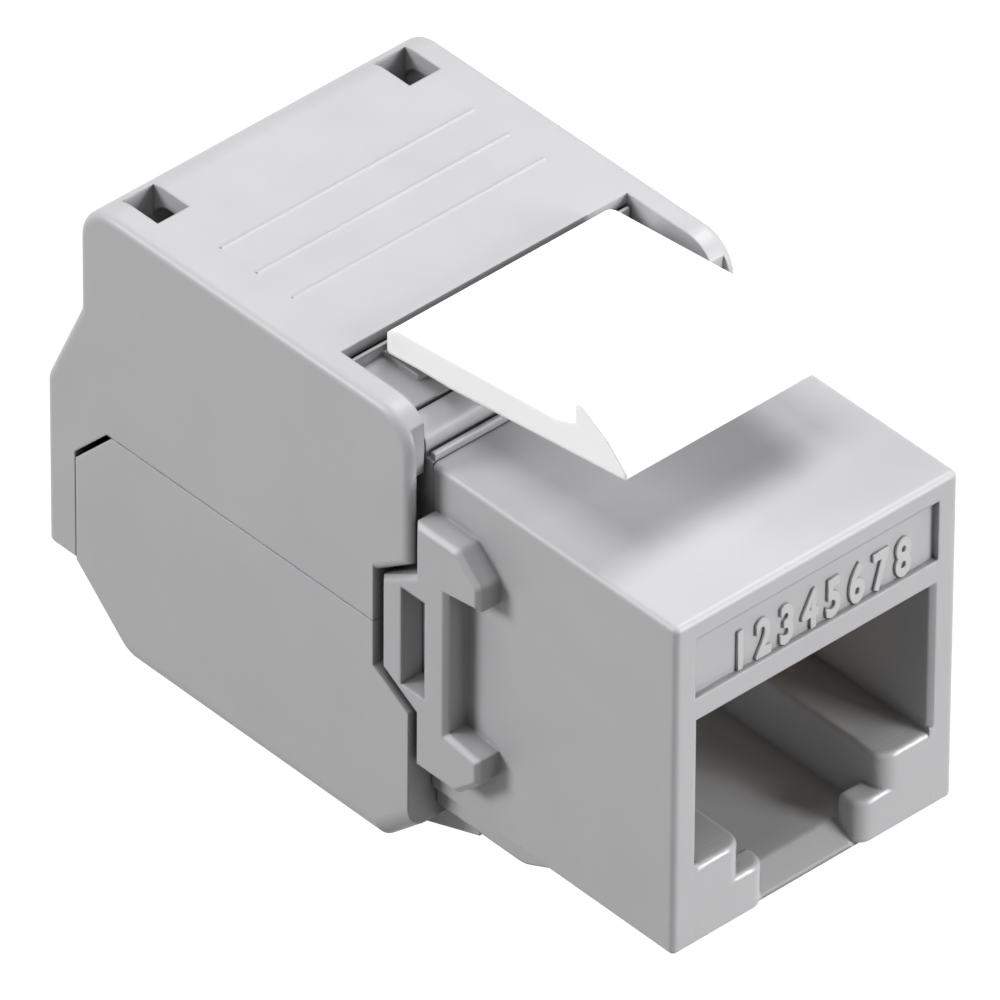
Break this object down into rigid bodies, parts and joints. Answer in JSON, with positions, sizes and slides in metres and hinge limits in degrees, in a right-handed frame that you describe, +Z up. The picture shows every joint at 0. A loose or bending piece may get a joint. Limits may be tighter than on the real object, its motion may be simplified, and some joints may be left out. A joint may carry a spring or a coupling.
{
  "type": "keystone jack",
  "caption": "Snap-in modular socket insert with side clip plates, a sprung panel latch, and a hinged rear hood that presses conductors onto terminals.",
  "frame": {"origin": "bottom centre of the overall box at rest, with the hood closed", "axes": "+X across the jack, +Y from the socket's face to the cable's end, +Z up from the rear body's underside to the latch"},
  "size_m": [0.0168, 0.0344, 0.0245],
  "materials": {
    "grey_plastic": "satin moulded",
    "white_plastic": "satin moulded",
    "dark_plastic": "matte moulded",
    "board_green": "solder mask",
    "contact_gold": "gold plated",
    "terminal_metal": "tin plated"
  },
  "bodies": {
    "housing": {"front_housing": "grey_plastic", "rear_body": "grey_plastic", "circuit_board": "board_green", "contact_carrier": "dark_plastic", "idc_block": "dark_plastic", "idc_terminal_1": "terminal_metal", "idc_terminal_2": "terminal_metal", "idc_terminal_3": "terminal_metal", "idc_terminal_4": "terminal_metal", "idc_terminal_5": "terminal_metal", "idc_terminal_6": "terminal_metal", "idc_terminal_7": "terminal_metal", "idc_terminal_8": "terminal_metal"},
    "cover": {"top_cover": "grey_plastic", "wire_guide": "white_plastic"},
    "latch": {"panel_latch": "white_plastic"},
    "contact_1": {"contact_wire_1": "contact_gold"},
    "contact_2": {"contact_wire_2": "contact_gold"},
    "contact_3": {"contact_wire_3": "contact_gold"},
    "contact_4": {"contact_wire_4": "contact_gold"},
    "contact_5": {"contact_wire_5": "contact_gold"},
    "contact_6": {"contact_wire_6": "contact_gold"},
    "contact_7": {"contact_wire_7": "contact_gold"},
    "contact_8": {"contact_wire_8": "contact_gold"}
  },
  "joints": [
    {"name": "cover_hinge", "type": "hinge", "parent": "housing", "child": "cover", "pos_m": [0, -0.00245, 0.01925], "axis": [1, 0, 0], "range_deg": [0, 90]},
    {"name": "latch_flex", "type": "hinge", "parent": "housing", "child": "latch", "pos_m": [0, 0.00005, 0.02075], "axis": [1, 0, 0], "range_deg": [0, 13], "stiffness_Nm_per_rad": 0.45},
    {"name": "contact_1_flex", "type": "hinge", "parent": "housing", "child": "contact_1", "pos_m": [-0.00356, -0.00135, 0.01377], "axis": [-1, 0, 0], "range_deg": [0, 8], "stiffness_Nm_per_rad": 0.065},
    {"name": "contact_2_flex", "type": "hinge", "parent": "housing", "child": "contact_2", "pos_m": [-0.00254, -0.00135, 0.01377], "axis": [-1, 0, 0], "range_deg": [0, 8], "stiffness_Nm_per_rad": 0.065},
    {"name": "contact_3_flex", "type": "hinge", "parent": "housing", "child": "contact_3", "pos_m": [-0.00152, -0.00135, 0.01377], "axis": [-1, 0, 0], "range_deg": [0, 8], "stiffness_Nm_per_rad": 0.065},
    {"name": "contact_4_flex", "type": "hinge", "parent": "housing", "child": "contact_4", "pos_m": [-0.00051, -0.00135, 0.01377], "axis": [-1, 0, 0], "range_deg": [0, 8], "stiffness_Nm_per_rad": 0.065},
    {"name": "contact_5_flex", "type": "hinge", "parent": "housing", "child": "contact_5", "pos_m": [0.00051, -0.00135, 0.01377], "axis": [-1, 0, 0], "range_deg": [0, 8], "stiffness_Nm_per_rad": 0.065},
    {"name": "contact_6_flex", "type": "hinge", "parent": "housing", "child": "contact_6", "pos_m": [0.00152, -0.00135, 0.01377], "axis": [-1, 0, 0], "range_deg": [0, 8], "stiffness_Nm_per_rad": 0.065},
    {"name": "contact_7_flex", "type": "hinge", "parent": "housing", "child": "contact_7", "pos_m": [0.00254, -0.00135, 0.01377], "axis": [-1, 0, 0], "range_deg": [0, 8], "stiffness_Nm_per_rad": 0.065},
    {"name": "contact_8_flex", "type": "hinge", "parent": "housing", "child": "contact_8", "pos_m": [0.00356, -0.00135, 0.01377], "axis": [-1, 0, 0], "range_deg": [0, 8], "stiffness_Nm_per_rad": 0.065}
  ]
}
